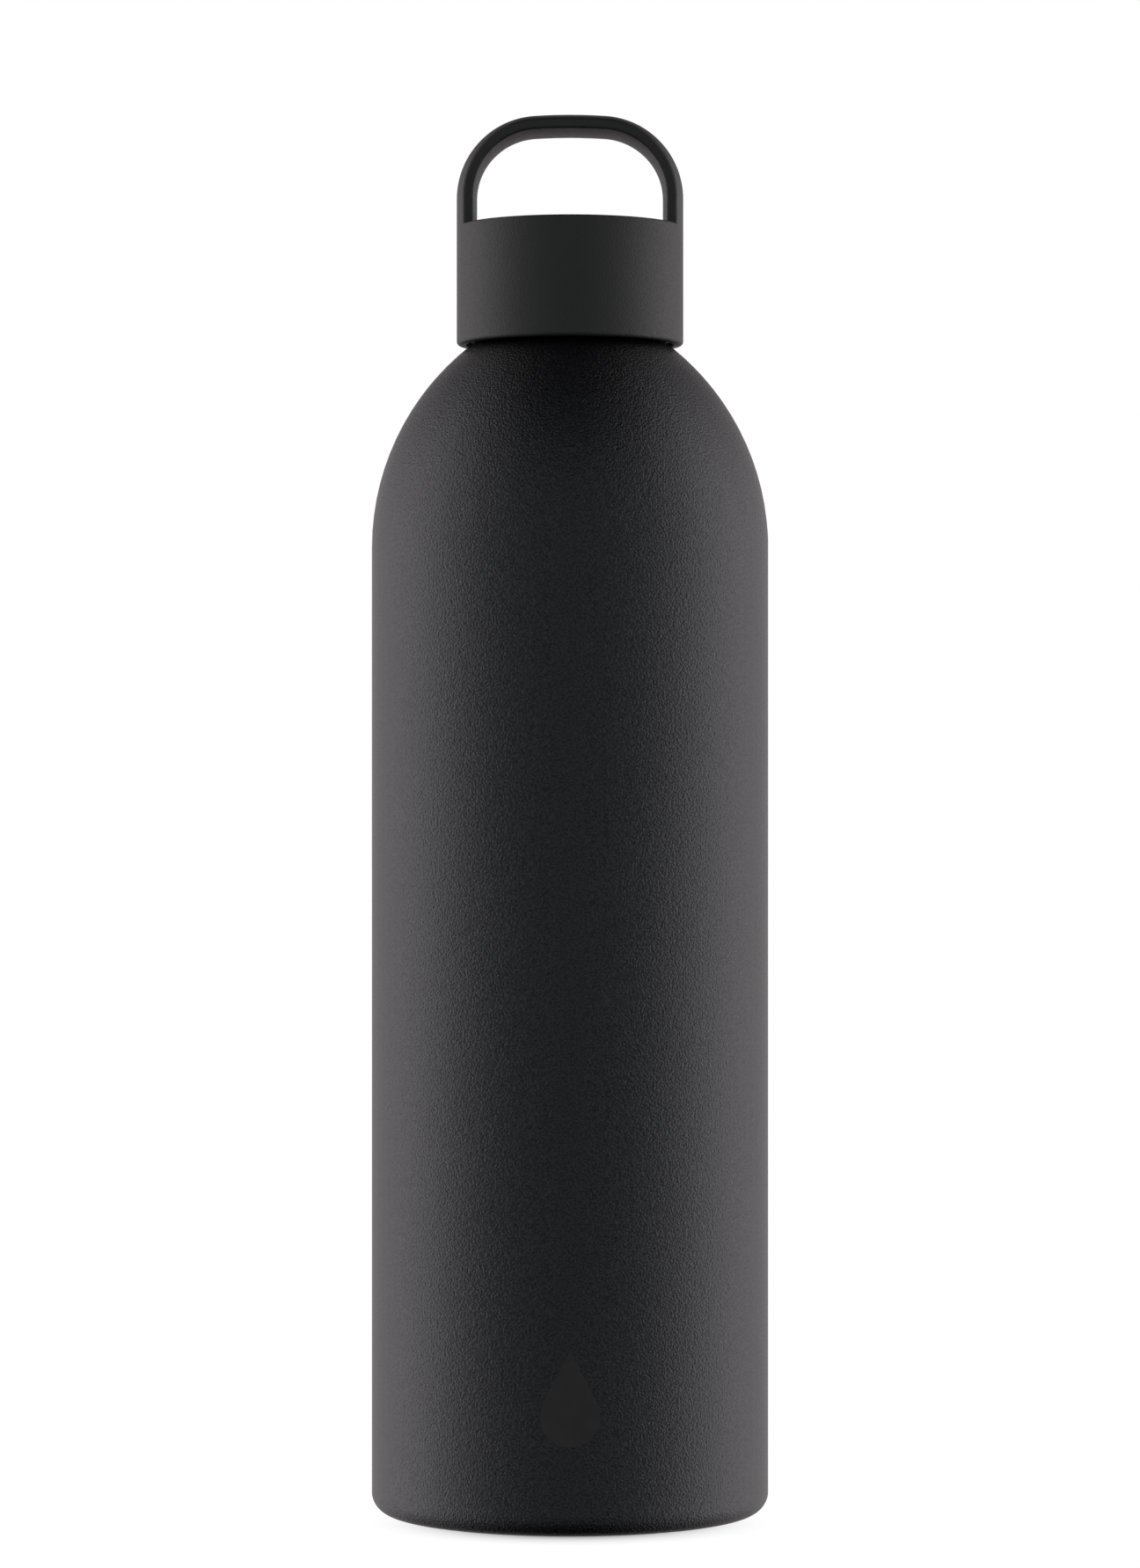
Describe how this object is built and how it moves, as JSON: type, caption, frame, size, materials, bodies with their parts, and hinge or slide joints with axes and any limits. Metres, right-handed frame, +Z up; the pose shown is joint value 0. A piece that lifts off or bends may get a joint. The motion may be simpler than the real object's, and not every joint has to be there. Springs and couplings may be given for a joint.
{
  "type": "insulated water bottle",
  "caption": "Tall black double-walled steel bottle with a domed shoulder, rounded foot and a short screw lid that carries a fixed arched loop.",
  "frame": {"origin": "centre of the base, on the plane of the standing ring", "axes": "+Z up along the bottle's axis; the carrying loop spans X; -Y is the front, where the mark is"},
  "size_m": [0.085, 0.085, 0.2993],
  "materials": {
    "powder_coat": "fine-textured matt black powder coat",
    "vessel_steel": "electropolished stainless steel",
    "base_steel": "circular brushed stainless steel",
    "foil": "bright foil",
    "solder_glass": "glossy dark solder glass",
    "getter_alloy": "sintered grey alloy",
    "lid_plastic": "fine spark-eroded black polypropylene",
    "liner_plastic": "satin black polypropylene",
    "lid_foam": "closed-cell foam",
    "silicone": "translucent grey silicone"
  },
  "bodies": {
    "bottle": {"outer_shell": "powder_coat", "inner_vessel": "vessel_steel", "inner_bottom": "vessel_steel", "reflective_foil": "foil", "vacuum_base": "vessel_steel", "sealing_bead": "solder_glass", "getter": "getter_alloy", "getter_strap": "vessel_steel", "base_cover": "base_steel"},
    "lid_seal": {"lid_gasket": "silicone"},
    "lid": {"lid_shell": "lid_plastic", "lid_liner": "liner_plastic", "lid_insulation": "lid_foam"}
  },
  "joints": [
    {"name": "lid_lift", "type": "slide", "parent": "bottle", "child": "lid_seal", "axis": [0, 0, 1], "range_m": [0, 0.01626]},
    {"name": "lid_turn", "type": "hinge", "parent": "lid_seal", "child": "lid", "pos_m": [0, 0, 0.26], "axis": [0, 0, 1], "range_deg": [0, 1170]}
  ],
  "couplings": [
    {"joint": "lid_lift", "follows": "lid_turn", "m_per_rad": 0.00079577}
  ]
}
